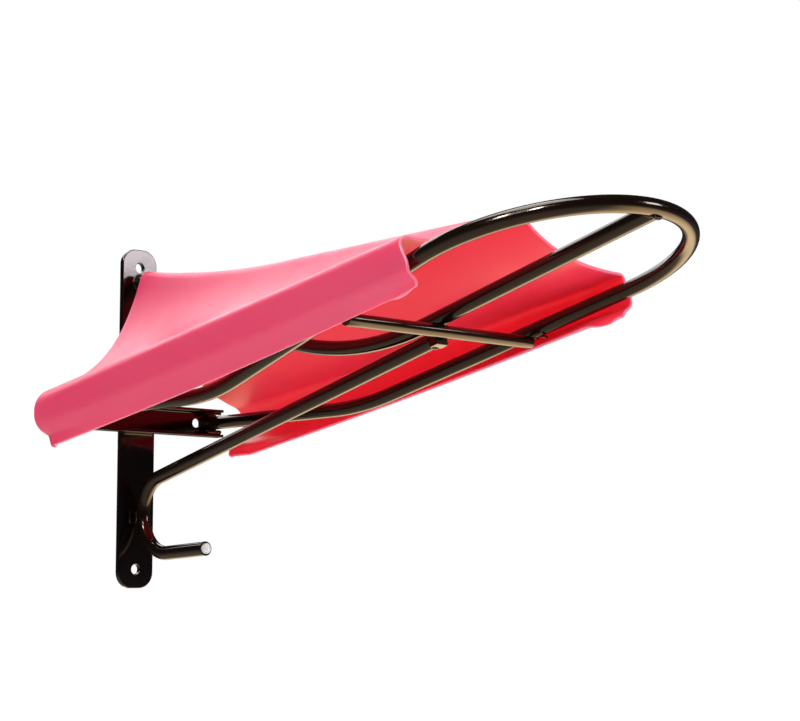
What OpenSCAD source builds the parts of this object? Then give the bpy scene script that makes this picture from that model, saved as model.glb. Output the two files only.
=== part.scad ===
// Wall-mounted saddle rack: a bent steel tube loop on a flat wall plate, with a
// centre rail, a brace that ends in a bridle hook, and a moulded lift-off cover.
// Origin: back face of the wall plate, level with the crossbar. +Z is up, the
// wall is the plane Y = 0, the rack reaches out along -Y, and X = 0 is its middle.

/* [Tube] */
// Outer diameter of every bent tube
tube_d = 12; // [10:0.5:14]
// Wall thickness of the tubes
tube_wall = 1.5; // [1:0.1:2]
// Diameter of the solid cross rod
rod_d = 9.5; // [8:0.5:10]

/* [Wall plate] */
// Width of the wall plate
plate_w = 36; // [34:1:50]
// Thickness of the wall plate
plate_t = 5; // [4:0.5:6]
// Height of the plate's top above the crossbar axis
plate_up = 152; // [148:1:160]
// Depth of the plate's bottom below the crossbar axis
plate_down = 148; // [144:1:160]
// Radius of the plate's corners
plate_corner = 14; // [6:1:18]
// Distance from each end of the plate to its screw hole
plate_hole_edge = 16.5; // [12:0.5:18]
// Diameter of the plate's screw holes
plate_hole_d = 9; // [6:0.5:10]

/* [Crossbar] */
// Length of the channel that carries the two rails
bar_len = 168; // [156:2:170]
// Height of the channel
bar_h = 25; // [20:1:28]
// Depth of the channel's flanges, measured from the back of its web
bar_depth = 14; // [10:1:18]
// Thickness of the channel's sheet
bar_t = 2.5; // [2:0.25:3]
// Outer radius of the channel's two bends
bar_bend = 4; // [3.5:0.5:5]
// Distance from the middle to each screw hole of the channel
bar_hole_x = 61.5; // [50:0.5:64]
// Diameter of the channel's screw holes
bar_hole_d = 8; // [5:0.5:9]

/* [Tube loop] */
// Distance from the middle to each rail's axis at the crossbar
rail_x = 73; // [70:0.5:76]
// Distance from the middle to each rail's axis where the rail turns up
knee_x = 76.5; // [74:0.5:79]
// Distance from the wall to the knee of each rail
knee_reach = 216.5; // [200:0.5:230]
// Radius of the knee bend
knee_r = 246; // [150:1:260]
// Angle at which the loop rises
rise = 14.6; // [10:0.1:18]
// Angle at which each rail opens outwards in front of the knee
splay = 5.7; // [3:0.1:7]
// Distance from the wall to the foremost point of the loop's axis
loop_reach = 591.5; // [560:0.5:600]

/* [Centre rail] */
// Height of the centre rail's axis at the plate
mid_rear_z = 122; // [118:1:124]
// Distance from the wall to the centre rail's knee
mid_knee_reach = 287; // [270:1:300]
// Height of the centre rail's knee
mid_knee_z = 22.9; // [18:0.1:28]
// Radius of the centre rail's bend
mid_r = 300; // [200:5:320]
// How far the front end sits below the loop's axis
mid_front_drop = 1.6; // [1:0.1:2.5]

/* [Cross rod and brace] */
// Distance from the wall to the cross rod
rod_reach = 394; // [388:1:400]
// Length of the cross rod
rod_len = 186; // [180:1:196]
// Width of the junction block
junction_w = 12; // [10:0.5:14]
// Depth of the junction block along the rack
junction_t = 8; // [6:0.5:10]
// How deep the rod is let into the junction block
rod_seat = 2; // [1:0.5:3]
// Angle at which the brace rises from the hook
brace_rise = 13.75; // [12:0.25:15]
// Distance from the wall to the axis of the hook's back
hook_back = 15; // [13:0.5:17]
// Height of the brace's upper corner point
hook_top_z = -58.3; // [-62:0.1:-55]
// Height of the hook's lower corner point
hook_low_z = -119.8; // [-124:0.1:-117]
// Radius of the hook's upper bend
hook_upper_r = 30; // [24:1:31]
// Radius of the hook's lower bend
hook_lower_r = 35.5; // [28:0.5:36]
// Distance from the wall to the tip of the hook
hook_reach = 107; // [95:1:115]
// Angle at which the hook's tip rises
hook_tip_rise = 3; // [0:0.5:8]

/* [Cover] */
// Thickness of the moulded cover
cover_t = 2.6; // [2:0.1:3]
// Height of the ridge at the wall
ridge_rear_z = 133; // [131:0.5:136]
// Height of the ridge along its level part
ridge_z = 114; // [110:1:118]
// Distance from the wall over which the ridge falls to its level part
ridge_fall = 200; // [150:5:240]
// Distance from the wall to the cover's rear edge
cover_rear = 15; // [14:0.5:18]
// Distance from the wall to the cover's front edge, at the height of its rolls
cover_front = 474; // [460:1:480]
// Half width at the axis of the edge roll: rear, front
roll_x = [91.5, 100.5];
// Height of the axis of the edge roll: rear, front
roll_z = [3.5, 68];
// Outer radius of the edge roll: rear, front
roll_r = [18.5, 15.5];
// Half width of the cover's lower edge: rear, front
lip_x = [92, 112.8];
// Height of the cover's lower edge: rear, front
lip_z = [-28, 47];

/* [Hidden] */
$fn = 48;
tube_r = tube_d / 2;
overrun = 2;        // extra length of a cutting shape
tube_sides = 24;    // sides of a bent tube
bend_step = 6;      // largest turn between two stations of a bend

// slope frame: origin below the knees on X = 0, -Y runs up the rails' slope
apex_s = (loop_reach - knee_reach) / cos(rise);
bow_r = (knee_x + apex_s * tan(splay)) / (1 / cos(splay) + tan(splay));
bow_s = apex_s - bow_r;
bow_steps = 16;

// a place on the slope given across, up the slope and square to it, and a direction in it
function on_slope(x, s, up) =
    [x, -knee_reach - s * cos(rise) + up * sin(rise), s * sin(rise) + up * cos(rise)];
function slope_dir(x, s) = [x, -s * cos(rise), s * sin(rise)];
function mirrored(s) = [[-s[0][0], s[0][1], s[0][2]], [s[1][0], -s[1][1], -s[1][2]]];

rail_points = [
    [rail_x, -plate_t, 0],
    [knee_x, -knee_reach, 0],
    on_slope(bow_r * cos(splay), bow_s - bow_r * sin(splay), 0)
];
rail_dirs = [unit(rail_points[1] - rail_points[0]), unit(rail_points[2] - rail_points[1])];
half_loop = concat(
    [[rail_points[0], rail_dirs[0]]],
    bend(rail_points[1], rail_dirs[0], rail_dirs[1], knee_r),
    [for (i = [0:bow_steps - 1]) let (a = mix(splay, -90, i / bow_steps))
        [on_slope(bow_r * cos(a), bow_s - bow_r * sin(a), 0), slope_dir(sin(a), cos(a))]]
);
loop_route = concat(
    half_loop,
    [[on_slope(0, apex_s, 0), [-1, 0, 0]]],
    [for (i = [len(half_loop) - 1:-1:0]) mirrored(half_loop[i])]
);
slope_up = [0, sin(rise), cos(rise)];
across = [1, 0, 0];

mid_fall = (mid_rear_z - mid_knee_z) / (mid_knee_reach - plate_t);
mid_route = route(
    [
        on_slope(0, apex_s + overrun, 0) - [0, 0, mid_front_drop],
        [0, -mid_knee_reach, mid_knee_z],
        [0, overrun - plate_t, mid_rear_z + overrun * mid_fall]
    ],
    [mid_r]
);
rod_s = (rod_reach - knee_reach) / cos(rise);
rod_drop = tube_r + rod_d / 2 - 1;
brace_end = rod_reach - rod_d / 2 + rod_seat - junction_t;
brace_points = [
    [0, -brace_end, hook_top_z + (brace_end - hook_back) * tan(brace_rise)],
    [0, -hook_back, hook_top_z],
    [0, -hook_back, hook_low_z],
    [0, -hook_reach, hook_low_z + (hook_reach - hook_back) * tan(hook_tip_rise)]
];
brace_route = route(brace_points, [hook_upper_r, hook_lower_r]);
junction_up = 11;       // the junction block's reach above the brace's axis
junction_down = 4;      // and below it
saddle = [14, 8, 11];   // width, depth from the plate, height
saddle_z = -86;         // height of the saddle's middle
plug_cap = 2;           // length of the plug outside the tube
plug_stem = 12;         // and inside it

// shape of the cover; pairs are rear, front
ridge_r = [8.5, 20];          // radius over the ridge
ridge_turn = [74, 38];        // how far the section turns away from level at the ridge
ridge_power = 1.8;            // how fast the ridge drops to its level part
flare_pull = [0.48, 0.30];    // how long the flare keeps its direction below the ridge
shelf_pull = [0.36, 0.42];    // and before the roll, both as parts of its span
shelf_fall = [15, 0];         // slope of the shelf where it meets the roll
roll_end = [-50, -22];        // lowest angle of the roll
rear_rake = -0.02;            // how far the rear edge leans back per unit of height
front_rake = 0.16;            // how far the front edge leans back per unit of height
stations = 16;
ridge_arc_steps = 4;
flare_steps = 9;
roll_steps = 7;

// ---- vector helpers ----
function unit(v) = v / norm(v);
function mix(a, b, t) = a + (b - a) * t;

// ---- bent tubes ----
// A route is a list of [place, direction] stations along a tube's axis.
// The stations of a bend that rounds the corner p between directions u and v
function bend(p, u, v, r) =
    let (
        turn = acos(u * v),
        steps = ceil(turn / bend_step),
        inward = cross(unit(cross(u, v)), u),
        centre = p - u * r * tan(turn / 2) + inward * r
    )
    [for (i = [0:steps]) let (a = turn * i / steps)
        [centre + (u * sin(a) - inward * cos(a)) * r, u * cos(a) + inward * sin(a)]];

// the route through the corner points, each inner corner rounded by its radius
function route(points, radii) =
    let (
        last = len(points) - 1,
        dirs = [for (i = [0:last - 1]) unit(points[i + 1] - points[i])]
    )
    concat(
        [[points[0], dirs[0]]],
        [for (i = [1:last - 1]) each bend(points[i], dirs[i - 1], dirs[i], radii[i - 1])],
        [[points[last], dirs[last - 1]]]
    );

// a circle about each station; side is never in line with the route
function rings(stations, side, r) =
    [for (s = stations)
        let (u = unit(cross(side, s[1])), w = cross(s[1], u))
        for (k = [0:tube_sides - 1]) let (a = 360 * k / tube_sides)
            s[0] + (u * cos(a) + w * sin(a)) * r];

// the faces of a sleeve of rings that start at point number first
function sleeve(count, first) =
    [for (i = [0:count - 2], k = [0:tube_sides - 1])
        let (a = first + i * tube_sides, next = (k + 1) % tube_sides)
        each [
            [a + k, a + tube_sides + k, a + tube_sides + next],
            [a + k, a + tube_sides + next, a + next]
        ]];
function flipped(faces) = [for (f = faces) [f[2], f[1], f[0]]];
function disc(first) = [for (k = [0:tube_sides - 1]) first + k];
function annulus(first, inner) =
    [for (k = [0:tube_sides - 1]) let (next = (k + 1) % tube_sides)
        each [
            [first + k, first + next, inner + next],
            [first + k, inner + next, inner + k]
        ]];

// a solid bar along a route
module bent_bar(stations, side, r) {
    n = len(stations);
    polyhedron(
        points = rings(stations, side, r),
        faces = concat(sleeve(n, 0), [disc(0)],
            [[for (k = [tube_sides - 1:-1:0]) (n - 1) * tube_sides + k]])
    );
}

// a tube along a route, open at both ends
module bent_tube(stations, side) {
    n = len(stations);
    inner = n * tube_sides;
    polyhedron(
        points = concat(rings(stations, side, tube_r), rings(stations, side, tube_r - tube_wall)),
        faces = concat(
            sleeve(n, 0),
            flipped(sleeve(n, inner)),
            annulus(0, inner),
            flipped(annulus((n - 1) * tube_sides, 2 * inner - tube_sides))
        )
    );
}

module slope_frame() {
    translate([0, -knee_reach, 0])
        rotate([-rise, 0, 0])
            children();
}

module rounded_rect(w, h, r) {
    square([w - 2 * r, h], center = true);
    square([w, h - 2 * r], center = true);
    for (x = [-1, 1], y = [-1, 1])
        translate([x * (w / 2 - r), y * (h / 2 - r)])
            circle(r = r);
}

// turns a drawing in X, Z into a slab whose back is at y and that is t thick
module slab(y, t) {
    translate([0, y, 0])
        rotate([90, 0, 0])
            linear_extrude(height = t)
                children();
}

// ---- frame ----
module wall_plate() {
    color([0.06, 0.04, 0.04])
        slab(0, plate_t)
            difference() {
                translate([0, (plate_up - plate_down) / 2])
                    rounded_rect(plate_w, plate_up + plate_down, plate_corner);
                for (z = [plate_up - plate_hole_edge, plate_hole_edge - plate_down])
                    translate([0, z])
                        circle(d = plate_hole_d);
            }
}

// a folded channel, open to the front, with its web on the wall plate
module crossbar() {
    color([0.06, 0.03, 0.03])
        difference() {
            translate([-bar_len / 2, -plate_t, 0])
                rotate([90, 0, 90])
                    linear_extrude(height = bar_len)
                        difference() {
                            channel_outline(bar_h, 0, bar_bend);
                            channel_outline(bar_h - 2 * bar_t, bar_t, bar_bend - bar_t);
                        }
            for (side = [-1, 1])
                translate([side * bar_hole_x, -plate_t + overrun, 0])
                    rotate([90, 0, 0])
                        cylinder(d = bar_hole_d, h = bar_t + 2 * overrun);
        }
}

// the channel's outside, or its hollow when inset from the back
module channel_outline(h, inset, r) {
    front = inset > 0 ? overrun : 0;
    w = bar_depth + front - inset;
    translate([-inset - w / 2, 0])
        union() {
            rounded_rect(w, h, r);
            translate([-w / 2, -h / 2])
                square([r, h]);
        }
}

// everything behind the plane at this distance from the wall
module behind(reach, z) {
    translate([-plate_w * 3, -reach, z - tube_d * 2])
        cube([plate_w * 6, tube_d * 2, tube_d * 4]);
}

module loop_tube() {
    color([0.09, 0.04, 0.04])
        difference() {
            bent_tube(loop_route, slope_up);
            behind(plate_t + bar_t, 0);
        }
}

// the middle tube: coped onto the loop's bow and cut flat against the plate
module centre_rail() {
    color([0.09, 0.04, 0.04])
        difference() {
            bent_tube(mid_route, across);
            bent_bar(loop_route, slope_up, tube_r);
            beyond_bow();
            behind(plate_t, mid_rear_z);
        }
}

// the space in front of the bow's axis, that the centre rail doesn't enter
module beyond_bow() {
    slope_frame()
        translate([-tube_d, -apex_s - 2 * tube_d, -tube_d])
            cube(2 * tube_d);
}

module rod_bar() {
    slope_frame()
        translate([-rod_len / 2, -rod_s, -rod_drop])
            rotate([0, 90, 0])
                cylinder(d = rod_d, h = rod_len);
}

module cross_rod() {
    color([0.10, 0.06, 0.05])
        difference() {
            rod_bar();
            bent_bar(loop_route, slope_up, tube_r);
            bent_bar(mid_route, across, tube_r);
        }
}

// the small upright block that ties the brace to the centre rail and seats the rod
module junction_plate() {
    color([0.04, 0.03, 0.03])
        difference() {
            translate(brace_points[0])
                rotate([-brace_rise, 0, 0])
                    translate([-junction_w / 2, -junction_t, -junction_down])
                        cube([junction_w, junction_t, junction_down + junction_up]);
            bent_bar(mid_route, across, tube_r);
            rod_bar();
        }
}

// the brace under the rack, bent down its plate into an open bridle hook
module brace_hook() {
    color([0.12, 0.08, 0.05])
        bent_tube(brace_route, across);
}

// the welded pad that holds the hook's back off the plate
module hook_saddle() {
    color([0.05, 0.04, 0.04])
        difference() {
            translate([-saddle[0] / 2, -plate_t - saddle[1], saddle_z - saddle[2] / 2])
                cube(saddle);
            bent_bar(brace_route, across, tube_r);
        }
}

// the push-in plug that closes the hook's open end
module hook_end_plug() {
    tip = brace_points[3];
    color([0.78, 0.78, 0.76])
        translate(tip)
            rotate([90 - hook_tip_rise, 0, 0])
                translate([0, 0, -plug_stem]) {
                    cylinder(r = tube_r - tube_wall, h = plug_stem);
                    translate([0, 0, plug_stem])
                        cylinder(r = tube_r, h = plug_cap);
                }
}

// ---- cover ----
function ridge_height(reach) =
    ridge_z + (ridge_rear_z - ridge_z) * pow(max(0, 1 - reach / ridge_fall), ridge_power);
function along(pair, t) = mix(pair[0], pair[1], t);
function polar(c, r, a) = [c[0] + r * cos(a), c[1] + r * sin(a)];
function bezier(a, b, c, d, t) =
    a * pow(1 - t, 3) + 3 * b * t * pow(1 - t, 2) + 3 * c * t * t * (1 - t) + d * pow(t, 3);

// half of the outer section, from the ridge to the lower edge, at t from rear to front
function half_section(t) =
    let (
        top = ridge_height(mix(cover_rear, cover_front, t)),
        rr = along(ridge_r, t),
        turn = along(ridge_turn, t),
        ridge_c = [0, top - rr],
        flare_a = polar(ridge_c, rr, 90 - turn),
        dir_a = [cos(turn), -sin(turn)],
        roll_c = [along(roll_x, t), along(roll_z, t)],
        roll_a = 90 - along(shelf_fall, t),
        flare_d = polar(roll_c, along(roll_r, t), roll_a),
        dir_d = [cos(roll_a - 90), sin(roll_a - 90)],
        span = norm(flare_d - flare_a),
        flare_b = flare_a + dir_a * span * along(flare_pull, t),
        flare_c = flare_d - dir_d * span * along(shelf_pull, t),
        roll_b = along(roll_end, t),
        lip_a = polar(roll_c, along(roll_r, t), roll_b),
        lip_b = [along(lip_x, t), along(lip_z, t)]
    )
    concat(
        [for (i = [0:ridge_arc_steps - 1]) polar(ridge_c, rr, 90 - turn * i / ridge_arc_steps)],
        [for (i = [0:flare_steps - 1]) bezier(flare_a, flare_b, flare_c, flare_d, i / flare_steps)],
        [for (i = [0:roll_steps - 1])
            polar(roll_c, along(roll_r, t), mix(roll_a, roll_b, i / roll_steps))],
        [lip_a, lip_b]
    );

// the whole section, from one lower edge over the ridge to the other
function full_section(t) =
    let (half = half_section(t), n = len(half))
    concat([for (i = [n - 1:-1:1]) [-half[i][0], half[i][1]]], half);

// the same section moved inwards by the thickness, along its normals
function inner_section(s) =
    let (n = len(s))
    [for (i = [0:n - 1])
        let (d = unit(s[min(i + 1, n - 1)] - s[max(i - 1, 0)]))
        s[i] + [d[1], -d[0]] * cover_t];

// a section point set in its place, between the raked rear and front edges
function placed(p, t) =
    let (
        rear = -cover_rear + (p[1] - roll_z[0]) * rear_rake,
        front = -cover_front + (p[1] - roll_z[1]) * front_rake
    )
    [p[0], mix(rear, front, t), p[1]];

module cover() {
    n = len(full_section(0));
    ring = 2 * n;
    sections = [for (k = [0:stations]) full_section(k / stations)];
    points = [for (k = [0:stations])
        let (outer = sections[k], inner = inner_section(outer))
        each concat(
            [for (p = outer) placed(p, k / stations)],
            [for (i = [n - 1:-1:0]) placed(inner[i], k / stations)]
        )];
    sides = [for (k = [0:stations - 1], i = [0:ring - 1])
        let (a = k * ring + i, b = k * ring + (i + 1) % ring)
        each [[a, b, a + ring], [b, b + ring, a + ring]]];
    caps = [for (i = [0:n - 2])
        let (a = i, b = i + 1, c = ring - 2 - i, d = ring - 1 - i, far = stations * ring)
        each [[a, d, b], [b, d, c], [far + a, far + b, far + d], [far + b, far + c, far + d]]];
    color([0.90, 0.28, 0.42])
        polyhedron(points = points, faces = concat(sides, caps));
}

wall_plate();
crossbar();
loop_tube();
centre_rail();
cross_rod();
junction_plate();
brace_hook();
hook_saddle();
hook_end_plug();
cover();
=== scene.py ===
"""Looks of a wall-mounted saddle rack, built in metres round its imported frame: enamelled steel
tube and plate with weld beads, a plugged bridle hook and a moulded pink cover."""

import math

import bmesh
import bpy
from mathutils import Matrix, Vector


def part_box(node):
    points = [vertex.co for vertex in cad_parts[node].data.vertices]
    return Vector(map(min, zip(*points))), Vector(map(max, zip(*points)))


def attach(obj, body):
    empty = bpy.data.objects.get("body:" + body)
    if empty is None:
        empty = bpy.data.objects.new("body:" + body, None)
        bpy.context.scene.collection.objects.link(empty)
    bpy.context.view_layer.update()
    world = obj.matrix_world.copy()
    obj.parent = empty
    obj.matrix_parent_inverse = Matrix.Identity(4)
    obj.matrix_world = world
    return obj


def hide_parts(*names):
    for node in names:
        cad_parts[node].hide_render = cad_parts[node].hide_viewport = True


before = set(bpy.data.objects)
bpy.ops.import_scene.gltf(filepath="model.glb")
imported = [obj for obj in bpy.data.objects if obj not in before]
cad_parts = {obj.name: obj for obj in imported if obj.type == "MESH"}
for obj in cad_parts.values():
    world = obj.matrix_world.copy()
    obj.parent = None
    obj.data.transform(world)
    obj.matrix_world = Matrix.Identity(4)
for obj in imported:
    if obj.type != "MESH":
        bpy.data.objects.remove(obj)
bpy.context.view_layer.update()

MM = 0.001
X, Y, Z = Vector((1, 0, 0)), Vector((0, 1, 0)), Vector((0, 0, 1))

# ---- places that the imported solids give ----
plate_low, plate_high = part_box("wall_plate")
bar_low, bar_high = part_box("crossbar")
loop_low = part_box("loop_tube")[0]
rod_low, rod_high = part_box("cross_rod")
saddle_low, saddle_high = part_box("hook_saddle")
plate_front = plate_low.y
bar_sheet = 2.5 * MM
web_front = plate_front - bar_sheet

# ---- tube sizes ----
tube_r = 6 * MM
rod_r = (rod_high.z - rod_low.z) / 2
rise = math.radians(14.6)
splay = math.radians(5.7)
rail_x = 73 * MM
knee_x = 76.5 * MM
knee_reach = 216.5 * MM
knee_r = 246 * MM
loop_reach = -loop_low.y - tube_r
mid_rear_z = 122 * MM
mid_knee = Vector((0, -287, 22.9)) * MM
mid_knee_r = 300 * MM
mid_front_drop = 1.6 * MM
brace_rise = math.radians(13.75)
brace_end_y = -383.25 * MM
hook_back_y = -15 * MM
hook_top_z = -58.3 * MM
hook_low_z = -119.8 * MM
hook_upper_r = 30 * MM
hook_lower_r = 35.5 * MM
hook_tip_y = -107 * MM
hook_tip_rise = math.radians(3)

BEND_STEP = math.radians(2.5)
STRAIGHT_STEP = 12 * MM
TUBE_SIDES = 56


# ---- meshes ----
def mix(a, b, t):
    return a + (b - a) * t


def new_piece(name, verts, faces, sharp=35):
    """A closed smooth-shaded mesh whose edges over the sharp angle stay crisp."""
    mesh = bpy.data.meshes.new(name)
    mesh.from_pydata([tuple(v) for v in verts], [], faces)
    bm = bmesh.new()
    bm.from_mesh(mesh)
    bmesh.ops.recalc_face_normals(bm, faces=bm.faces)
    bm.to_mesh(mesh)
    bm.free()
    mesh.shade_smooth()
    mesh.set_sharp_from_angle(angle=math.radians(sharp))
    piece = bpy.data.objects.new(name, mesh)
    bpy.context.scene.collection.objects.link(piece)
    return piece


def apply_modifiers(piece, sharp=35):
    """Bakes the piece's modifiers into its mesh."""
    bpy.context.view_layer.update()
    evaluated = piece.evaluated_get(bpy.context.evaluated_depsgraph_get())
    mesh = bpy.data.meshes.new_from_object(evaluated)
    piece.modifiers.clear()
    piece.data = mesh
    mesh.shade_smooth()
    mesh.set_sharp_from_angle(angle=math.radians(sharp))


def even_normals(piece):
    """Lets the big faces set the shading, so that flat faces look flat up to their rounded edges."""
    piece.modifiers.new("even", "WEIGHTED_NORMAL").weight = 100
    bpy.context.view_layer.update()
    evaluated = piece.evaluated_get(bpy.context.evaluated_depsgraph_get())
    mesh = bpy.data.meshes.new_from_object(evaluated)
    piece.modifiers.clear()
    piece.data = mesh


def bevel_edges(piece, width, segments=3):
    bevel = piece.modifiers.new("edges", "BEVEL")
    bevel.width = width
    bevel.segments = segments
    bevel.limit_method = "ANGLE"
    bevel.angle_limit = math.radians(35)
    apply_modifiers(piece, sharp=50)
    even_normals(piece)


def sleeve(count, sides, first=0):
    """Faces between count rings of vertices."""
    return [
        (
            first + i * sides + k,
            first + i * sides + (k + 1) % sides,
            first + (i + 1) * sides + (k + 1) % sides,
            first + (i + 1) * sides + k,
        )
        for i in range(count - 1)
        for k in range(sides)
    ]


# ---- routes: lists of (place, direction) along an axis ----
def bend(corner, u, v, radius):
    """The stations of an arc that rounds the corner between directions u and v."""
    turn = u.angle(v)
    steps = max(2, math.ceil(turn / BEND_STEP))
    inward = u.cross(v).normalized().cross(u)
    centre = corner - u * radius * math.tan(turn / 2) + inward * radius
    angles = [turn * i / steps for i in range(steps + 1)]
    return [
        (centre + (u * math.sin(a) - inward * math.cos(a)) * radius,
         u * math.cos(a) + inward * math.sin(a))
        for a in angles
    ]


def filled(stations):
    """The same route with stations added along its long straight runs."""
    out = [stations[0]]
    for (p, d), (q, e) in zip(stations, stations[1:]):
        steps = max(1, round((q - p).length / STRAIGHT_STEP)) if d.angle(e) < BEND_STEP / 4 else 1
        out += [(p.lerp(q, i / steps), d) for i in range(1, steps)]
        out.append((q, e))
    return out


def route(points, radii):
    """The route through the points, with each inner corner rounded by its radius."""
    dirs = [(b - a).normalized() for a, b in zip(points, points[1:])]
    stations = [(points[0], dirs[0])]
    for corner, u, v, radius in zip(points[1:-1], dirs, dirs[1:], radii):
        stations += bend(corner, u, v, radius)
    stations.append((points[-1], dirs[-1]))
    return filled(stations)


def on_slope(x, s, up=0.0):
    """A place on the loop's slope: across, up the slope from the knees, and square to it."""
    return Vector((
        x,
        -knee_reach - s * math.cos(rise) + up * math.sin(rise),
        s * math.sin(rise) + up * math.cos(rise),
    ))


def slope_direction(x, s):
    return Vector((x, -s * math.cos(rise), s * math.sin(rise)))


def loop_route():
    """From the right rail's rear end, round the bow, to the left rail's rear end."""
    start = Vector((rail_x, web_front + 0.5 * bar_sheet, 0))
    knee = Vector((knee_x, -knee_reach, 0))
    bow_start = on_slope(bow_r * math.cos(splay), bow_s - bow_r * math.sin(splay))
    dirs = [(knee - start).normalized(), (bow_start - knee).normalized()]
    half = [(start, dirs[0])] + bend(knee, *dirs, knee_r)
    steps = math.ceil((math.pi / 2 + splay) / BEND_STEP)
    for i in range(steps + 1):
        a = mix(splay, -math.pi / 2, i / steps)
        half.append((
            on_slope(bow_r * math.cos(a), bow_s - bow_r * math.sin(a)),
            slope_direction(math.sin(a), math.cos(a)),
        ))
    half = filled(half)
    mirrored = [
        (Vector((-p.x, p.y, p.z)), Vector((d.x, -d.y, -d.z))) for p, d in reversed(half[:-1])
    ]
    return half + mirrored


def ring(place, direction, side, radius, sides):
    """A circle of vertices about a station; side is never in line with the direction."""
    u = side.cross(direction).normalized()
    w = direction.cross(u).normalized()
    turns = [2 * math.pi * k / sides for k in range(sides)]
    return [place + (u * math.cos(a) + w * math.sin(a)) * radius for a in turns]


def bar(name, stations, side, radius, sides=TUBE_SIDES, nose=0.0):
    """A round bar along a route, with its end edges rounded by the nose radius."""
    rings = []
    for place, direction in stations:
        rings.append(ring(place, direction, side, radius, sides))
    if nose:
        turns = [math.radians(a) for a in (30, 60, 90)]
        for end, sign in ((0, -1), (len(stations) - 1, 1)):
            place, direction = stations[end]
            caps = [
                ring(
                    place + direction * sign * nose * math.sin(a),
                    direction, side, radius - nose * (1 - math.cos(a)), sides,
                )
                for a in turns
            ]
            rings = caps[::-1] + rings if sign < 0 else rings + caps
    verts = [v for r in rings for v in r]
    last = (len(rings) - 1) * sides
    faces = sleeve(len(rings), sides)
    faces.append(tuple(range(sides)))
    faces.append(tuple(range(last, last + sides)))
    return new_piece(name, verts, faces)


def lathe(name, profile, place, axis, sides=48):
    """A turned solid: profile holds (radius, distance along the axis), from pole to pole."""
    side = X if abs(axis.dot(X)) < 0.9 else Y
    verts = [place + axis * profile[0][1]]
    for radius, along in profile[1:-1]:
        verts += ring(place + axis * along, axis, side, radius, sides)
    verts.append(place + axis * profile[-1][1])
    faces = sleeve(len(profile) - 2, sides, first=1)
    last, end = len(verts) - 1 - sides, len(verts) - 1
    for k in range(sides):
        after = (k + 1) % sides
        faces += [(0, 1 + k, 1 + after), (end, last + k, last + after)]
    return new_piece(name, verts, faces)


def block(name, size, place, tilt, edge):
    """A box with rounded edges: size and the place of its middle, tilted about X."""
    turn = Matrix.Rotation(tilt, 3, "X")
    corners = [
        place + turn @ Vector((sx * size.x, sy * size.y, sz * size.z)) / 2
        for sx in (-1, 1) for sy in (-1, 1) for sz in (-1, 1)
    ]
    faces = [(0, 1, 3, 2), (4, 6, 7, 5), (0, 4, 5, 1), (2, 3, 7, 6), (0, 2, 6, 4), (1, 5, 7, 3)]
    piece = new_piece(name, corners, faces)
    bevel_edges(piece, edge)
    return piece


# ---- weld beads ----
PUDDLE_PITCH = 1.9 * MM
PUDDLE_STEP = 0.4 * MM
BEAD_SIDES = 12


def resampled(points, step):
    """Points at an even step along a polyline."""
    lengths = [(b - a).length for a, b in zip(points, points[1:])]
    count = max(4, round(sum(lengths) / step))
    out, index, passed = [], 0, 0.0
    for i in range(count + 1):
        target = sum(lengths) * i / count
        while index < len(lengths) - 1 and passed + lengths[index] < target:
            passed += lengths[index]
            index += 1
        share = (target - passed) / max(lengths[index], 1e-9)
        out.append(points[index].lerp(points[index + 1], min(share, 1.0)))
    return out


def weld(name, points, side, radius, closed=False):
    """A bead of overlapping puddles laid along a seam, with rounded ends unless it is closed."""
    places = resampled(points + points[:1] if closed else points, PUDDLE_STEP)
    if closed:
        places.pop()
    count = len(places)
    length = PUDDLE_STEP * count
    puddles = max(1, round(length / PUDDLE_PITCH))
    verts = []
    for i, place in enumerate(places):
        before = places[i - 1] if closed or i else place
        after = places[(i + 1) % count] if closed or i < count - 1 else place
        swell = 0.84 + 0.16 * abs(math.cos(math.pi * puddles * i / count))
        from_end = radius if closed else min(i, count - 1 - i) * PUDDLE_STEP
        taper = math.sqrt(max(0.04, 1 - max(0.0, 1 - from_end / radius) ** 2))
        verts += ring(place, (after - before).normalized(), side, radius * swell * taper, BEAD_SIDES)
    faces = sleeve(count, BEAD_SIDES)
    if closed:
        first = (count - 1) * BEAD_SIDES
        for k in range(BEAD_SIDES):
            after = (k + 1) % BEAD_SIDES
            faces.append((first + k, first + after, after, k))
    else:
        last = (count - 1) * BEAD_SIDES
        faces.append(tuple(range(BEAD_SIDES)))
        faces.append(tuple(range(last, last + BEAD_SIDES)))
    return new_piece(name, verts, faces, sharp=70)


def circle_points(place, axis, side, radius, count=40, start=0.0, end=360.0):
    """Points round an axis, from the start to the end angle in degrees."""
    u = side.cross(axis).normalized()
    w = axis.cross(u)
    angles = [math.radians(mix(start, end, k / count)) for k in range(count + (end - start < 360))]
    return [place + (u * math.cos(a) + w * math.sin(a)) * radius for a in angles]


# ---- the routes that several pieces share ----
apex_s = (loop_reach - knee_reach) / math.cos(rise)
bow_r = (knee_x + apex_s * math.tan(splay)) / (1 / math.cos(splay) + math.tan(splay))
bow_s = apex_s - bow_r
slope_up = Vector((0, math.sin(rise), math.cos(rise)))
mid_front = on_slope(0, apex_s) - Z * mid_front_drop
mid_rear = Vector((0, plate_front, mid_rear_z))
mid_rear_dir = (mid_rear - mid_knee).normalized()
mid_front_dir = (mid_knee - mid_front).normalized()
mid_stations = route([mid_front, mid_knee, mid_rear], [mid_knee_r])
brace_top = Vector((0, brace_end_y, hook_top_z + (hook_back_y - brace_end_y) * math.tan(brace_rise)))
brace_dir = Vector((0, -math.cos(brace_rise), math.sin(brace_rise)))
hook_tip = Vector((0, hook_tip_y, hook_low_z + (hook_back_y - hook_tip_y) * math.tan(hook_tip_rise)))
hook_tip_dir = Vector((0, -math.cos(hook_tip_rise), math.sin(hook_tip_rise)))
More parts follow.
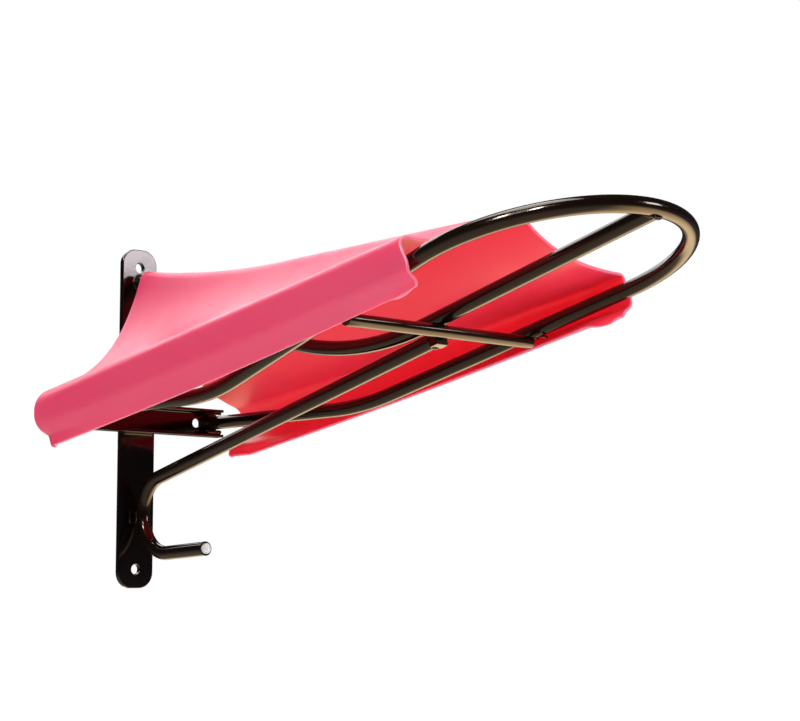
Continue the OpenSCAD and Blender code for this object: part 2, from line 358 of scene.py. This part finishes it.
rod_middle = (rod_low + rod_high) / 2
rod_s = (-rod_middle.y - knee_reach + 2 * rod_r * math.sin(rise)) / math.cos(rise)
rail_at_rod = knee_x + rod_s * math.tan(splay)


# ---- plate work ----
def rounded_outline(low, high, radius, steps=14):
    """(place, outward normal) pairs round a rectangle in X, Z with round corners."""
    corners = [
        (high.x - radius, high.z - radius, 0), (low.x + radius, high.z - radius, 90),
        (low.x + radius, low.z + radius, 180), (high.x - radius, low.z + radius, 270),
    ]
    out = []
    for x, z, first in corners:
        for k in range(steps + 1):
            a = math.radians(first + 90 * k / steps)
            n = Vector((math.cos(a), 0, math.sin(a)))
            out.append((Vector((x, 0, z)) + n * radius, n))
    return out


def hole_outline(x, z, radius, steps=40):
    """(place, normal) pairs round a hole; the normal points into the hole."""
    out = []
    for k in range(steps):
        a = 2 * math.pi * k / steps
        n = Vector((math.cos(a), 0, math.sin(a)))
        out.append((Vector((x, 0, z)) + n * radius, -n))
    return out


def flat_plate(name, outline, holes, front, back, edge, hole_edge):
    """A flat plate with holes, its edges rounded on both faces."""
    bm = bmesh.new()
    caps = ([], [])
    turns = [math.radians(90 * k / 4) for k in range(5)]
    for loop, inset in [(outline, edge)] + [(h, hole_edge) for h in holes]:
        rows = []
        for y, inward in ((front, 1), (back, -1)):
            levels = [
                [bm.verts.new(p - n * inset * (1 - math.sin(a)) + Y * (y + inward * inset * (1 - math.cos(a))))
                 for p, n in loop]
                for a in turns
            ]
            rows = levels if inward == 1 else rows + levels[::-1]
        for a, b in zip(rows, rows[1:]):
            for k in range(len(loop)):
                after = (k + 1) % len(loop)
                bm.faces.new((a[k], a[after], b[after], b[k]))
        for cap, row in zip(caps, (rows[0], rows[-1])):
            cap += [bm.edges.get((row[k], row[(k + 1) % len(row)])) for k in range(len(row))]
    for cap in caps:
        bmesh.ops.triangle_fill(bm, use_beauty=True, edges=cap)
    bmesh.ops.recalc_face_normals(bm, faces=bm.faces)
    mesh = bpy.data.meshes.new(name)
    bm.to_mesh(mesh)
    bm.free()
    mesh.shade_smooth()
    mesh.set_sharp_from_angle(angle=math.radians(35))
    piece = bpy.data.objects.new(name, mesh)
    bpy.context.scene.collection.objects.link(piece)
    even_normals(piece)
    return piece


def make_wall_plate():
    hole_z = 16.5 * MM
    holes = [
        hole_outline(0, plate_high.z - hole_z, 4.5 * MM),
        hole_outline(0, plate_low.z + hole_z, 4.5 * MM),
    ]
    outline = rounded_outline(plate_low, plate_high, 14 * MM)
    piece = flat_plate("wall_plate_enamelled", outline, holes, plate_front, plate_high.y,
                       0.9 * MM, 0.5 * MM)
    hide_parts("wall_plate")
    return piece


def channel_section():
    """The folded channel's section in Y, Z: the outside, then back along the inside."""
    half_h, depth, bend_r = bar_high.z, bar_high.y - bar_low.y, 4 * MM
    back = bar_high.y
    turns = [math.radians(90 * k / 8) for k in range(9)]
    upper_out = [(back - depth, half_h)]
    upper_out += [
        (back - bend_r + bend_r * math.sin(a), half_h - bend_r + bend_r * math.cos(a)) for a in turns
    ]
    inner_r, inner_h = bend_r - bar_sheet, half_h - bar_sheet
    upper_in = [(back - depth, inner_h)]
    upper_in += [
        (back - bend_r + inner_r * math.sin(a), half_h - bend_r + inner_r * math.cos(a)) for a in turns
    ]
    lower_out = [(y, -z) for y, z in reversed(upper_out)]
    lower_in = [(y, -z) for y, z in upper_in]
    return upper_out + lower_out + lower_in + upper_in[::-1]


def make_crossbar():
    """A folded sheet channel with a drilled web."""
    section = channel_section()
    count = len(section)
    verts = [Vector((x, y, z)) for x in (bar_low.x, bar_high.x) for y, z in section]
    faces = [(k, (k + 1) % count, count + (k + 1) % count, count + k) for k in range(count)]
    faces += [tuple(range(count)), tuple(range(count, 2 * count))]
    piece = new_piece("crossbar_enamelled", verts, faces)
    drills = []
    for side in (-1, 1):
        hole = Vector((side * 61.5 * MM, 0, 0))
        profile = [(0, 0), (4 * MM, 0), (4 * MM, 20 * MM), (0, 20 * MM)]
        drill = lathe(f"drill_{side}", profile, hole, -Y)
        cut = piece.modifiers.new("hole", "BOOLEAN")
        cut.object = drill
        cut.operation = "DIFFERENCE"
        cut.solver = "EXACT"
        drills.append(drill)
    apply_modifiers(piece)
    for drill in drills:
        bpy.data.objects.remove(drill)
    bevel_edges(piece, 0.45 * MM)
    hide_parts("crossbar")
    return piece


def make_junction():
    """The small block that ties the brace to the centre rail and seats the rod."""
    low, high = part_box("junction_plate")
    thick = 8 * MM
    height = 17 * MM
    above_brace = 2.5 * MM
    upright = Vector((0, math.sin(brace_rise), math.cos(brace_rise)))
    middle = brace_top + brace_dir * thick / 2 + upright * above_brace
    size = Vector((high.x - low.x, thick, height))
    piece = block("junction_plate_enamelled", size, middle, -brace_rise, 0.6 * MM)
    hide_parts("junction_plate")
    return piece


def make_saddle():
    size = saddle_high - saddle_low
    piece = block("hook_saddle_enamelled", size, (saddle_low + saddle_high) / 2, 0, 0.8 * MM)
    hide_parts("hook_saddle")
    return piece


# ---- tubes ----
def make_tubes():
    loop = bar("loop_tube_enamelled", loop_route(), slope_up, tube_r)
    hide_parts("loop_tube")
    rail = bar("centre_rail_enamelled", mid_stations, X, tube_r)
    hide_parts("centre_rail")
    points = [brace_top, Vector((0, hook_back_y, hook_top_z)), Vector((0, hook_back_y, hook_low_z)), hook_tip]
    hook = bar("brace_hook_enamelled", route(points, [hook_upper_r, hook_lower_r]), X, tube_r)
    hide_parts("brace_hook")
    nose = 0.7 * MM
    rod_shift = 4 * MM
    ends = [Vector((x - rod_shift, rod_middle.y, rod_middle.z))
            for x in (rod_low.x + nose, rod_high.x - nose)]
    rod = bar("cross_rod_enamelled", filled([(p, X) for p in ends]), Y, rod_r,
              sides=40, nose=nose)
    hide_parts("cross_rod")
    return [loop, rail, hook, rod]


def make_plug():
    """A push-in end plug: a stem, a rounded cap and a shallow dish in its face."""
    cap, rim, bore = 2 * MM, 1.2 * MM, tube_r - 1.5 * MM
    profile = [(0, -12 * MM), (bore - 0.6 * MM, -12 * MM), (bore, -11.2 * MM), (bore, 0)]
    for k in range(1, 6):
        a = math.radians(90 * k / 5)
        profile.append((bore - rim * (1 - math.cos(a)), cap - rim * (1 - math.sin(a))))
    dish = bore * 0.62
    profile += [(dish + 0.5 * MM, cap), (dish, cap - 0.25 * MM)]
    for k in range(1, 5):
        share = 1 - k / 5
        profile.append((dish * share, cap - 0.25 * MM + 0.5 * MM * (1 - share * share)))
    profile.append((0, cap + 0.25 * MM))
    piece = lathe("hook_end_plug_moulded", profile, hook_tip, hook_tip_dir)
    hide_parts("hook_end_plug")
    return piece


# ---- the welds of the frame ----
def bow_axis_distance(p):
    """Distance of a point from the axis of the loop's bow."""
    rel = p - on_slope(0, bow_s)
    up = rel.dot(slope_up)
    flat = rel - slope_up * up
    return math.hypot(flat.length - bow_r, up)


def cope_points(count=44):
    """Where the centre rail's skin meets the bow."""
    u = X
    w = mid_front_dir.cross(u).normalized()
    out = []
    for k in range(count):
        a = 2 * math.pi * k / count
        start = mid_front + (u * math.cos(a) + w * math.sin(a)) * tube_r
        near, far = 0.0, 3 * tube_r
        for _ in range(30):
            half = (near + far) / 2
            if bow_axis_distance(start + mid_front_dir * half) < tube_r:
                near = half
            else:
                far = half
        out.append(start + mid_front_dir * near)
    return out


def make_welds():
    beads = []
    seam_x = plate_high.x - 2.5 * MM
    for name, z in (("above", bar_high.z), ("below", bar_low.z)):
        ends = [Vector((x, plate_front, z)) for x in (-seam_x, seam_x)]
        beads.append(weld(f"weld_crossbar_{name}", ends, Y, 2.0 * MM))
    for name, side in (("right", 1), ("left", -1)):
        foot = Vector((side * rail_x, web_front, 0))
        beads.append(weld(f"weld_rail_{name}", circle_points(foot, Y, Z, tube_r + 0.3 * MM),
                          Y, 1.3 * MM, closed=True))
        for part, z, radius in (("above", 8.7 * MM, 1.3 * MM), ("below", -8.0 * MM, 2.1 * MM)):
            ends = [Vector((side * x * MM, bar_low.y + 2 * MM, z)) for x in (66, 82.5)]
            beads.append(weld(f"weld_flange_{part}_{name}", ends, Y, radius))
        under = on_slope(side * rail_at_rod, rod_s, -tube_r)
        for part, shift in (("front", -1), ("rear", 1)):
            seam = under + Y * shift * rod_r * 0.95 - slope_up * 0.6 * MM
            ends = [seam - X * 3.2 * MM, seam + X * 3.2 * MM]
            beads.append(weld(f"weld_rod_{name}_{part}", ends, Y, 1.3 * MM))
    foot = [p + mid_rear_dir * ((plate_front - p.y) / mid_rear_dir.y)
            for p in circle_points(mid_rear, mid_rear_dir, X, tube_r + 0.3 * MM)]
    beads.append(weld("weld_centre_rail_plate", foot, Y, 1.5 * MM, closed=True))
    beads.append(weld("weld_centre_rail_bow", cope_points(), mid_front_dir, 1.3 * MM, closed=True))
    brace_foot = circle_points(brace_top, brace_dir, X, tube_r - 0.2 * MM)
    beads.append(weld("weld_brace_junction", brace_foot, brace_dir, 1.4 * MM, closed=True))
    saddle_front = saddle_low.y
    for name, side in (("right", 1), ("left", -1)):
        x = side * (tube_r - 0.6 * MM)
        ends = [Vector((x, saddle_front, z)) for z in (saddle_low.z + 1 * MM, saddle_high.z - 1 * MM)]
        beads.append(weld(f"weld_hook_{name}", ends, Y, 1.5 * MM))
        x = side * saddle_high.x
        ends = [Vector((x, plate_front, z)) for z in (saddle_low.z, saddle_high.z)]
        beads.append(weld(f"weld_saddle_{name}", ends, Y, 1.3 * MM))
    for name, side in (("right", 1), ("left", -1)):
        place = rod_middle + X * side * 6.2 * MM + Y * 2.2 * MM
        ends = [place + Z * 2.5 * MM, place - Z * 2.5 * MM]
        beads.append(weld(f"weld_junction_rod_{name}", ends, Y, 1.3 * MM))
    return beads


# ---- the cover; pairs are rear, front ----
cover_sheet = 2.6 * MM
cover_rear_y = -15 * MM
cover_front_y = -477 * MM
ridge_top = (133 * MM, 114 * MM)
ridge_fall = 200 * MM
ridge_power = 1.8
ridge_r = (8.5 * MM, 20 * MM)
ridge_turn = (74, 38)
flare_pull = (0.48, 0.30)
shelf_pull = (0.36, 0.45)
shelf_fall = (18, 0)
upper_corner = ((111.7, 14.0), (114.7, 83.4))
lower_corner = ((111.3, -12.6), (113.4, 57.0))
edge_x = (101.5, 99.2)
edge_z = (-31.3, 48.3)
edge_sag = 2.9
rear_tuck = (-8.5, 0.6)
front_flick = (4.5, -0.8)
tuck_length = 0.035
flick_length = 0.07
kink_share = 0.62
kink_depth = (4.6, 1.6)
kink_fade = 0.14
upper_r = (18.5 * MM, 7 * MM)
lower_r = (17.5 * MM, 7 * MM)
kink_r = (3.0 * MM, 9.0 * MM)
sheet_corner_r = 3.5 * MM
rake_start = 61 * MM
rake_span = 17 * MM
rake_depth = 6.5 * MM
upper_rake = 0.1
rear_rake = -0.02
COVER_STATIONS = 110


def along(pair, t):
    return mix(pair[0], pair[1], t)


def place_2d(pair, t):
    return Vector(pair[0]).lerp(Vector(pair[1]), t) * MM


def smooth(share):
    share = min(max(share, 0.0), 1.0)
    return share * share * (3 - 2 * share)


def edge_place(t):
    """The cover's lower edge: it sags a little, tucks in at the rear corner and flicks out in front."""
    rear, front = 1 - smooth(t / tuck_length), 1 - smooth((1 - t) / flick_length)
    x = mix(edge_x[1], edge_x[0], (1 - t) ** 2) + rear_tuck[0] * rear + front_flick[0] * front
    z = mix(*edge_z, t) - edge_sag * 4 * t * (1 - t) + rear_tuck[1] * rear + front_flick[1] * front
    return Vector((x, z)) * MM


def heading(degrees):
    a = math.radians(degrees)
    return Vector((math.cos(a), math.sin(a)))


def fillet(before, corner, after, radius, steps):
    """Points of the arc that rounds a corner of the section."""
    u, v = (corner - before).normalized(), (after - corner).normalized()
    turn = u.angle(v)
    inward = v - u * u.dot(v)
    inward.normalize()
    centre = corner - u * radius * math.tan(turn / 2) + inward * radius
    angles = [turn * k / steps for k in range(steps + 1)]
    return [centre + (u * math.sin(a) - inward * math.cos(a)) * radius for a in angles]


def straight(a, b, steps):
    return [a.lerp(b, k / steps) for k in range(1, steps)]


def ridge_height(t):
    reach = -mix(cover_rear_y, cover_front_y, t)
    drop = max(0.0, 1 - reach / ridge_fall) ** ridge_power
    return ridge_top[1] + (ridge_top[0] - ridge_top[1]) * drop


def half_section(t):
    """The outer section at t, from the ridge down the flare and round the edge roll."""
    radius, turn = along(ridge_r, t), along(ridge_turn, t)
    ridge_c = Vector((0, ridge_height(t) - radius))
    corner, low_corner = place_2d(upper_corner, t), place_2d(lower_corner, t)
    edge = edge_place(t)
    flange_dir = (edge - low_corner).normalized()
    crease = max(1 - smooth(t / kink_fade), 1 - smooth((1 - t) / kink_fade))
    depth = along(kink_depth, t) * mix(0.15, 1, crease) * MM
    bent = low_corner.lerp(edge, kink_share) + Vector((flange_dir.y, -flange_dir.x)) * depth
    edge += flange_dir * -cover_sheet / 2
    shelf_dir = heading(-along(shelf_fall, t))
    roll = fillet(corner - shelf_dir, corner, low_corner, mix(upper_r[1], upper_r[0], (1 - t) ** 3), 14)
    a, d = ridge_c + heading(90 - turn) * radius, roll[0]
    span = (d - a).length
    b = a + heading(-turn) * span * along(flare_pull, t)
    c = d - shelf_dir * span * along(shelf_pull, t)
    under = fillet(corner, low_corner, bent, along(lower_r, t), 12)
    flange = fillet(low_corner, bent, edge, mix(kink_r[1], kink_r[0], crease), 5)
    points = [ridge_c + heading(90 - turn * k / 8) * radius for k in range(8)]
    for k in range(30):
        s = k / 30
        points.append(a * (1 - s) ** 3 + b * 3 * s * (1 - s) ** 2 + c * 3 * s * s * (1 - s) + d * s ** 3)
    points += roll + straight(roll[-1], under[0], 4) + under
    points += straight(under[-1], flange[0], 3) + flange
    points += straight(flange[-1], edge, 8) + [edge]
    return points


def sheet_place(p, t, from_edge):
    """A section point in its place; the sheet's corners are rounded near its lower edge."""
    inset = cover_sheet / 2
    if from_edge < sheet_corner_r:
        inset += sheet_corner_r - math.sqrt(sheet_corner_r ** 2 - (sheet_corner_r - from_edge) ** 2)
    rear = cover_rear_y - inset + rear_rake * p.y
    front = cover_front_y + inset + rake_depth * smooth((p.y - rake_start) / rake_span)
    front += upper_rake * max(0.0, p.y - rake_start - rake_span)
    return Vector((p.x, mix(rear, front, t), p.y))


def cover_grid():
    """The outer face as rows of places from rear to front."""
    rows = []
    for k in range(COVER_STATIONS + 1):
        t = k / COVER_STATIONS
        half = half_section(t)
        lengths = [0.0]
        for a, b in zip(half[:0:-1], half[-2::-1]):
            lengths.append(lengths[-1] + (a - b).length)
        lengths.reverse()
        right = [sheet_place(p, t, s) for p, s in zip(half, lengths)]
        left = [Vector((-p.x, p.y, p.z)) for p in right[:0:-1]]
        rows.append(left + right)
    return rows


def make_cover():
    """A moulded sheet of even thickness, closed round its edges by a half-round rim."""
    rows = cover_grid()
    high, wide = len(rows), len(rows[0])
    flat = [p for row in rows for p in row]
    normals = [
        (rows[min(j + 1, high - 1)][i] - rows[max(j - 1, 0)][i]).cross(
            rows[j][min(i + 1, wide - 1)] - rows[j][max(i - 1, 0)]).normalized()
        for j in range(high) for i in range(wide)
    ]
    if normals[wide // 2].z < 0:
        normals = [-n for n in normals]
    verts = flat + [p - n * cover_sheet for p, n in zip(flat, normals)]
    under = high * wide
    faces = []
    for j in range(high - 1):
        for i in range(wide - 1):
            a, b, c, d = j * wide + i, j * wide + i + 1, (j + 1) * wide + i + 1, (j + 1) * wide + i
            faces += [(a, b, c, d), (under + d, under + c, under + b, under + a)]
    border = list(range(wide)) + [j * wide + wide - 1 for j in range(1, high)]
    border += [(high - 1) * wide + i for i in range(wide - 2, -1, -1)]
    border += [j * wide for j in range(high - 2, 0, -1)]
    rim_rows = [border]
    turns = [math.radians(180 * k / 6) for k in range(1, 6)]
    count = len(border)
    outward = []
    for k, index in enumerate(border):
        tangent = flat[border[(k + 1) % count]] - flat[border[k - 1]]
        out = normals[index].cross(tangent).normalized()
        outward.append(out)
    middle = sum(flat, Vector()) / len(flat)
    if outward[wide // 2].dot(flat[border[wide // 2]] - middle) < 0:
        outward = [-o for o in outward]
    for a in turns:
        row = []
        for index, out in zip(border, outward):
            n = normals[index]
            centre = flat[index] - n * cover_sheet / 2
            row.append(len(verts))
            verts.append(centre + (n * math.cos(a) + out * math.sin(a)) * cover_sheet / 2)
        rim_rows.append(row)
    rim_rows.append([under + index for index in border])
    for a, b in zip(rim_rows, rim_rows[1:]):
        for k in range(count):
            after = (k + 1) % count
            faces.append((a[k], b[k], b[after], a[after]))
    piece = new_piece("cover_moulded", verts, faces, sharp=80)
    # Marks the rim, which the material paints paler as a painted highlight on the thin edges.
    rim_highlight_mark = piece.data.attributes.new("rim", "FLOAT", "POINT")
    values = [0.0] * len(verts)
    for row in rim_rows[1:-1]:
        for index in row:
            values[index] = 1.0
    rim_highlight_mark.data.foreach_set("value", values)
    # Marks the inner face, which the material paints a deeper red as painted shade for the light that reaches
    # it through the sheet.
    inner_shade_mark = piece.data.attributes.new("inner", "FLOAT", "POINT")
    inner_shade_mark.data.foreach_set("value", [float(under <= k < 2 * under) for k in range(len(verts))])
    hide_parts("cover")
    return piece


# ---- materials ----
class Shading:
    """Builds one material round its Principled shader."""

    def __init__(self, name):
        self.material = bpy.data.materials.new(name)
        self.material.use_nodes = True
        self.nodes = self.material.node_tree.nodes
        self.links = self.material.node_tree.links
        self.shader = self.nodes["Principled BSDF"]
        self.coords = self.nodes.new("ShaderNodeTexCoord").outputs["Object"]

    def set(self, **values):
        for name, value in values.items():
            self.shader.inputs[name.replace("_", " ")].default_value = value

    def link(self, source, name):
        self.links.new(source, self.shader.inputs[name])

    def stretched(self, scale):
        mapping = self.nodes.new("ShaderNodeMapping")
        mapping.inputs["Scale"].default_value = scale
        self.links.new(self.coords, mapping.inputs["Vector"])
        return mapping.outputs["Vector"]

    def noise(self, scale, detail=2.0, roughness=0.5, vector=None):
        node = self.nodes.new("ShaderNodeTexNoise")
        node.inputs["Scale"].default_value = scale
        node.inputs["Detail"].default_value = detail
        node.inputs["Roughness"].default_value = roughness
        self.links.new(vector or self.coords, node.inputs["Vector"])
        return node.outputs["Fac"]

    def ramp(self, source, low, high, out_low=0.0, out_high=1.0):
        node = self.nodes.new("ShaderNodeMapRange")
        node.interpolation_type = "SMOOTHSTEP"
        for name, value in (("From Min", low), ("From Max", high), ("To Min", out_low), ("To Max", out_high)):
            node.inputs[name].default_value = value
        self.links.new(source, node.inputs["Value"])
        return node.outputs["Result"]

    def product(self, a, b):
        node = self.nodes.new("ShaderNodeMath")
        node.operation = "MULTIPLY"
        for socket, value in zip(node.inputs, (a, b)):
            if isinstance(value, (int, float)):
                socket.default_value = value
            else:
                self.links.new(value, socket)
        return node.outputs["Value"]

    def blend(self, factor, a, b):
        """A colour between a and b, each a colour or a socket."""
        node = self.nodes.new("ShaderNodeMix")
        node.data_type = "RGBA"
        self.links.new(factor, node.inputs["Factor"])
        for socket, value in ((node.inputs[6], a), (node.inputs[7], b)):
            if isinstance(value, tuple):
                socket.default_value = (*value, 1.0)
            else:
                self.links.new(value, socket)
        return node.outputs[2]

    def bump(self, height, strength, distance, normal=None):
        node = self.nodes.new("ShaderNodeBump")
        node.inputs["Strength"].default_value = strength
        node.inputs["Distance"].default_value = distance
        self.links.new(height, node.inputs["Height"])
        if normal is not None:
            self.links.new(normal, node.inputs["Normal"])
        return node.outputs["Normal"]

    def mark(self, name):
        node = self.nodes.new("ShaderNodeAttribute")
        node.attribute_name = name
        return node.outputs["Fac"]

    def upward(self):
        """How far a surface faces up, from 0 to 1."""
        geometry = self.nodes.new("ShaderNodeNewGeometry")
        split = self.nodes.new("ShaderNodeSeparateXYZ")
        self.links.new(geometry.outputs["Normal"], split.inputs["Vector"])
        return self.ramp(split.outputs["Z"], 0.2, 1.0)


def enamel(name, base, deep, gloss, tint):
    """Gloss stove enamel: a brown-black body with orange peel, cloudy gloss and a little dust."""
    s = Shading(name)
    dust = s.product(s.upward(), s.ramp(s.noise(240, 6, 0.7), 0.50, 0.75, 0.0, 0.05))
    body = s.blend(s.ramp(s.noise(22, 4, 0.6), 0.35, 0.65), deep, base)
    s.link(s.blend(dust, body, (0.16, 0.13, 0.11)), "Base Color")
    s.link(s.ramp(s.noise(60, 5, 0.65), 0.35, 0.75, gloss, gloss + 0.05), "Roughness")
    s.link(s.bump(s.noise(420, 3), 0.05, 0.0003), "Normal")
    s.set(Specular_Tint=(*tint, 1.0), IOR=1.6)
    return s.material


def cover_plastic():
    """Moulded translucent pink plastic: faint flow clouds, a fine satin grain, paler edges that are a painted
    highlight, and a deeper red inner face that is painted shade.
    """
    s = Shading("moulded_pink")
    flow = s.noise(1.0, 5, 0.55, s.stretched((14, 4, 14)))
    outside = s.blend(s.ramp(flow, 0.3, 0.7), (0.80, 0.062, 0.150), (0.83, 0.074, 0.166))
    # The inner face gets a deeper, redder pink: painted shade standing in for the light filtered through the
    # sheet.
    body = s.blend(s.mark("inner"), outside, (0.78, 0.042, 0.085))
    # The rim is blended towards pale pink: a painted highlight where the thin edges catch the light.
    s.link(s.blend(s.product(s.mark("rim"), 0.6), body, (0.95, 0.30, 0.42)), "Base Color")
    s.link(s.ramp(s.noise(30, 5, 0.6), 0.3, 0.75, 0.33, 0.43), "Roughness")
    grain = s.bump(s.noise(1400, 3, 0.6), 0.12, 0.0002)
    s.link(s.bump(s.noise(9, 2), 0.08, 0.004, grain), "Normal")
    s.set(Subsurface_Weight=0.8, Subsurface_Radius=(1.0, 0.12, 0.17), Subsurface_Scale=0.008)
    s.set(IOR=1.45)
    return s.material


def plug_plastic():
    s = Shading("plug_grey")
    s.link(s.blend(s.ramp(s.noise(500, 4), 0.3, 0.7), (0.60, 0.60, 0.58), (0.72, 0.72, 0.70)), "Base Color")
    s.link(s.ramp(s.noise(900, 3), 0.3, 0.7, 0.38, 0.52), "Roughness")
    s.link(s.bump(s.noise(2600, 2), 0.15, 0.0002), "Normal")
    return s.material


# ---- the studio ----
FLOOR_Z = -1.1


def make_camera():
    """A long lens, a little below the rack, looking up along its right side."""
    yaw, pitch, roll = (math.radians(a) for a in (42.699, 7.044, -0.207))
    forward = Vector((math.sin(yaw) * math.cos(pitch), math.cos(yaw) * math.cos(pitch), math.sin(pitch)))
    level = Vector((math.cos(yaw), -math.sin(yaw), 0))
    up = level.cross(forward)
    right = level * math.cos(roll) + up * math.sin(roll)
    up = up * math.cos(roll) - level * math.sin(roll)
    data = bpy.data.cameras.new("camera")
    data.sensor_width = 36
    data.lens = 79.69
    data.clip_start, data.clip_end = 0.05, 2000
    camera = bpy.data.objects.new("camera", data)
    turn = Matrix((right, up, -forward)).transposed().to_4x4()
    camera.matrix_world = Matrix.Translation((-0.88683, -1.30778, -0.14101)) @ turn
    bpy.context.scene.collection.objects.link(camera)
    bpy.context.scene.camera = camera


def softbox(name, place, target, width, height, power, diffuse=True, glossy=True):
    data = bpy.data.lights.new(name, "AREA")
    data.shape = "RECTANGLE"
    data.size, data.size_y = width, height
    data.energy = power
    light = bpy.data.objects.new(name, data)
    light.location = place
    light.visible_diffuse, light.visible_glossy = diffuse, glossy
    light.rotation_mode = "QUATERNION"
    light.rotation_quaternion = (Vector(target) - Vector(place)).to_track_quat("-Z", "Y")
    bpy.context.scene.collection.objects.link(light)


def make_floor():
    """A pale glowing sweep, far enough down to stay clear of the rack: white to the camera, pale grey to
    diffuse rays, and in gloss a painted warm pool of light near the rack, stronger towards +X.
    """
    half = 400
    mesh = bpy.data.meshes.new("floor")
    corners = [(-half, -half, FLOOR_Z), (half, -half, FLOOR_Z), (half, half, FLOOR_Z), (-half, half, FLOOR_Z)]
    mesh.from_pydata(corners, [], [(0, 1, 2, 3)])
    floor = bpy.data.objects.new("floor", mesh)
    bpy.context.scene.collection.objects.link(floor)
    s = Shading("pale_floor")
    s.set(Base_Color=(0.2, 0.2, 0.2, 1), Roughness=0.9)
    across = s.nodes.new("ShaderNodeSeparateXYZ")
    s.links.new(s.coords, across.inputs["Vector"])
    reach = s.nodes.new("ShaderNodeVectorMath")
    reach.operation = "LENGTH"
    s.links.new(s.coords, reach.inputs[0])
    # In gloss the floor shows a painted warm pool of light: bright near the rack and towards +X, fading to
    # dark grey far off.
    near = s.ramp(reach.outputs["Value"], 2.0, 5.0, 1.0, 0.03)
    painted_light_pool = s.product(near, s.ramp(across.outputs["X"], 0.3, 1.1, 0.26, 3.2))
    gloss = s.blend(near, (0.03, 0.03, 0.03), (1.0, 0.72, 0.38))
    painted_warm_pool = s.nodes.new("ShaderNodeVectorMath")
    painted_warm_pool.operation = "SCALE"
    s.links.new(gloss, painted_warm_pool.inputs[0])
    s.links.new(painted_light_pool, painted_warm_pool.inputs["Scale"])
    path = s.nodes.new("ShaderNodeLightPath")
    lit = s.blend(path.outputs["Is Diffuse Ray"], (1.0, 1.0, 1.0), (0.72, 0.72, 0.72))
    s.link(s.blend(path.outputs["Is Glossy Ray"], lit, painted_warm_pool.outputs["Vector"]), "Emission Color")
    s.set(Emission_Strength=1.0)
    mesh.materials.append(s.material)


def make_world():
    """White behind the rack; soft grey where it lights and shows in the gloss."""
    world = bpy.data.worlds.new("studio")
    world.use_nodes = True
    nodes, links = world.node_tree.nodes, world.node_tree.links
    seen = nodes["Background"]
    seen.inputs["Color"].default_value = (1, 1, 1, 1)
    path = nodes.new("ShaderNodeLightPath")
    surface = seen.outputs["Background"]
    for ray, strength in (("Is Diffuse Ray", 0.42), ("Is Glossy Ray", 0.03)):
        other = nodes.new("ShaderNodeBackground")
        other.inputs["Color"].default_value = (0.92, 0.94, 1.0, 1)
        other.inputs["Strength"].default_value = strength
        either = nodes.new("ShaderNodeMixShader")
        links.new(path.outputs[ray], either.inputs["Fac"])
        links.new(surface, either.inputs[1])
        links.new(other.outputs["Background"], either.inputs[2])
        surface = either.outputs["Shader"]
    links.new(surface, nodes["World Output"].inputs["Surface"])
    bpy.context.scene.world = world


def make_lights():
    """Soft panels; the ones that skip diffuse or gloss serve only the other."""
    softbox("top_light", (-0.3, -0.2, 2.3), (0, -0.3, 0), 2.0, 1.4, 46)
    softbox("key_light", (-2.4, -1.6, 1.9), (0, -0.3, 0), 0.9, 0.9, 24, glossy=False)
    softbox("key_streak", (-2.4, -1.6, 1.9), (0, -0.3, 0), 1.7, 0.8, 215, diffuse=False)
    softbox("right_light", (1.9, -0.5, 0.25), (0, -0.3, 0.03), 1.2, 0.8, 60, glossy=False)
    softbox("flare_glow", (0.3, 1.35, 1.2), (-0.05, -0.3, 0.09), 1.7, 1.0, 14, diffuse=False)
    softbox("side_panel", (1.385, -2.035, 0.79), (0, 0, 0.15), 0.5, 0.5, 9)


# ---- the scene ----
make_camera()
make_floor()
make_world()
make_lights()
bpy.context.scene.view_settings.view_transform = "Standard"

plate_paint = enamel("enamel_plate", (0.0032, 0.0014, 0.0014), (0.0020, 0.0009, 0.0009), 0.07,
                     (1.0, 0.88, 0.92))
tube_paint = enamel("enamel_tube", (0.0070, 0.0028, 0.0014), (0.0045, 0.0018, 0.0010), 0.11,
                    (1.0, 0.84, 0.70))
tubes = make_tubes()
for piece in tubes + make_welds():
    piece.data.materials.append(tube_paint)
    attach(piece, "frame")
for piece in (make_wall_plate(), make_crossbar(), make_junction(), make_saddle()):
    piece.data.materials.clear()
    piece.data.materials.append(plate_paint)
    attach(piece, "frame")
plug = make_plug()
plug.data.materials.append(plug_plastic())
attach(plug, "frame")
cover = make_cover()
cover.data.materials.append(cover_plastic())
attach(cover, "cover_shell")
